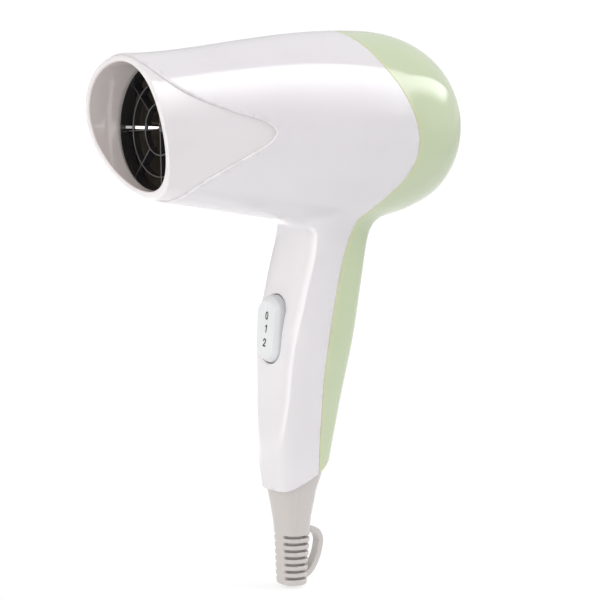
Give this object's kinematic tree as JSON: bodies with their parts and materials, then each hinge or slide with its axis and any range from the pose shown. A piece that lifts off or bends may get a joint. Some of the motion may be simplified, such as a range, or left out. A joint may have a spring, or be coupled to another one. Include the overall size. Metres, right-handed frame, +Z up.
{
  "type": "hair dryer",
  "caption": "Hand-held hair dryer with a tapered barrel, a leaning grip, a rocker switch and a slotted strain relief with a hanging loop.",
  "frame": {"origin": "centre of the air outlet, on the barrel's axis", "axes": "+X back along the barrel to the air inlet, +Z up, grip down -Z"},
  "size_m": [0.1585, 0.078, 0.2266],
  "materials": {
    "white_shell": "glossy moulded",
    "green_shell": "glossy moulded, pale green",
    "black_plastic": "satin black, heat resistant",
    "steel": "zinc plated",
    "mica": "pressed mica sheet",
    "nichrome": "wound heating wire",
    "brass": "plain",
    "cream_plastic": "satin",
    "magnet": "ferrite",
    "carbon": "pressed carbon",
    "winding": "enamelled copper on laminations",
    "circuit_board": "bare board",
    "blue_plastic": "dipped",
    "switch_cap": "fine satin",
    "wire_sleeve": "PVC sleeve",
    "grey_boot": "matt thermoplastic elastomer"
  },
  "bodies": {
    "dryer": {"front_casing": "white_shell", "rear_casing": "green_shell", "nozzle_collar": "white_shell", "outlet_grille": "black_plastic", "inlet_grille": "green_shell", "lint_filter": "steel", "mica_liner": "mica", "heater_board_upright": "mica", "heater_board_level": "mica", "heating_coils": "nichrome", "coil_rivets": "brass", "thermostat": "steel", "thermal_fuse": "mica", "fan_housing": "cream_plastic", "motor_can": "steel", "motor_end_cap": "black_plastic", "motor_magnets": "magnet", "motor_bushes": "brass", "motor_brushes": "carbon", "motor_screws": "steel", "rectifier_board": "circuit_board", "rectifier_diodes": "black_plastic", "suppressor_capacitor": "blue_plastic", "switch_body": "black_plastic", "switch_terminals": "brass", "switch_screws": "steel", "inner_wires": "wire_sleeve", "cord_clamp": "cream_plastic", "clamp_screws": "steel", "casing_screws": "steel", "strain_relief": "grey_boot"},
    "rotor": {"motor_shaft": "steel", "motor_armature": "winding", "motor_commutator": "brass", "fan_impeller": "cream_plastic"},
    "rocker": {"rocker": "switch_cap"},
    "slider": {"switch_slider": "cream_plastic"}
  },
  "joints": [
    {"name": "fan_spin", "type": "hinge", "parent": "dryer", "child": "rotor", "pos_m": [0.116, 0, 0], "axis": [1, 0, 0], "continuous": true},
    {"name": "rocker_tilt", "type": "hinge", "parent": "dryer", "child": "rocker", "pos_m": [0.0766, 0, -0.0811], "axis": [0, 1, 0], "range_deg": [0, 11]},
    {"name": "slider_travel", "type": "slide", "parent": "dryer", "child": "slider", "axis": [0, 0, 1], "range_m": [-0.0015, 0]}
  ],
  "couplings": [
    {"joint": "slider_travel", "follows": "rocker_tilt", "m_per_rad": -0.0074}
  ]
}
